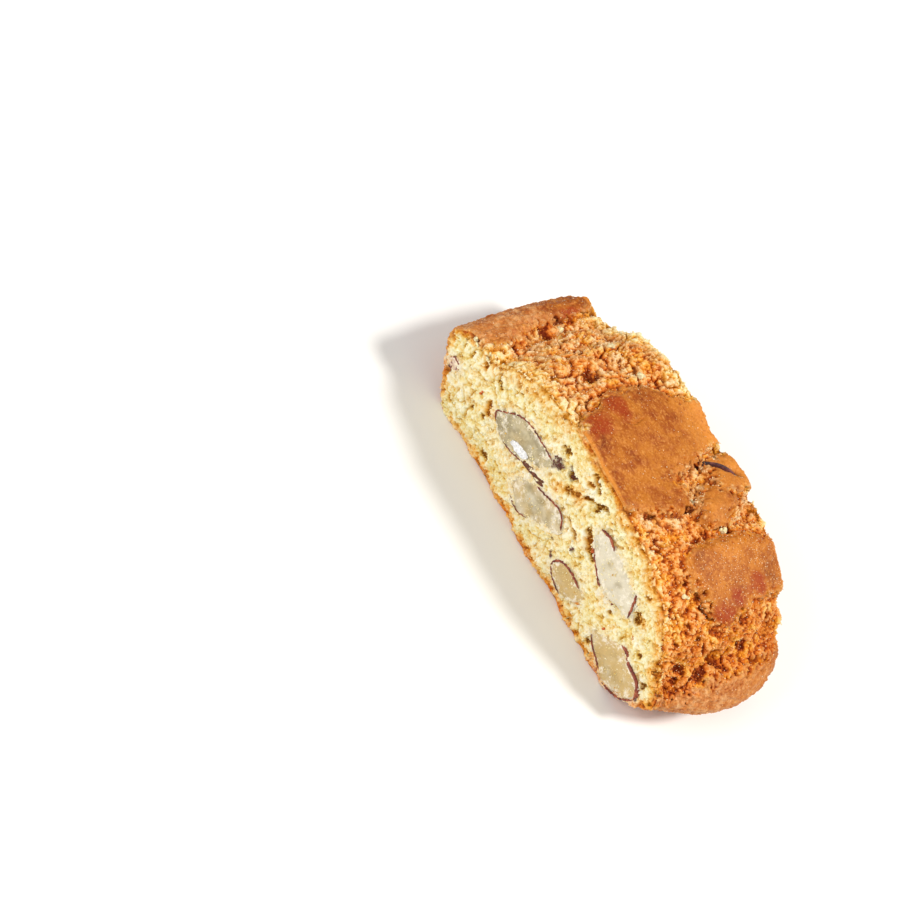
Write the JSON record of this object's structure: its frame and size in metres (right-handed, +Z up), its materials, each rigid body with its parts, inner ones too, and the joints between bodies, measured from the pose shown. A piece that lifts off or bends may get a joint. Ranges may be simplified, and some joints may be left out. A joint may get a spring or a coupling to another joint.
{
  "type": "biscotti",
  "caption": "One twice-baked almond biscotto, a slice of a domed loaf with a cracked golden crust, rough pale crumb and cut almonds, lying on its flat base.",
  "frame": {"origin": "middle of the flat base, on the surface that it rests on", "axes": "+X along the slice, +Y from the front cut face to the back cut face, +Z up from the base to the domed crust"},
  "size_m": [0.0896, 0.0342, 0.032],
  "materials": {
    "crust": "dry golden-brown baked crust over pale yellow open crumb, rough and matt",
    "crumb": "dry, open, pale yellow baked crumb, rough and matt",
    "almond": "cut almond flesh, ivory, slightly waxy, dusted with crumb",
    "almond_skin": "dark red-brown almond skin, dry and wrinkled",
    "sugar": "fine sugar grains, slightly shiny"
  },
  "bodies": {
    "root": {"biscuit": "crust", "almond_front_1": "almond", "almond_front_2": "almond", "almond_front_3": "almond", "almond_front_4": "almond", "almond_front_5": "almond", "almond_front_6": "almond_skin", "almond_back_1": "almond", "almond_back_2": "almond", "almond_back_3": "almond", "almond_back_4": "almond", "almond_crust": "almond_skin"}
  },
  "joints": []
}
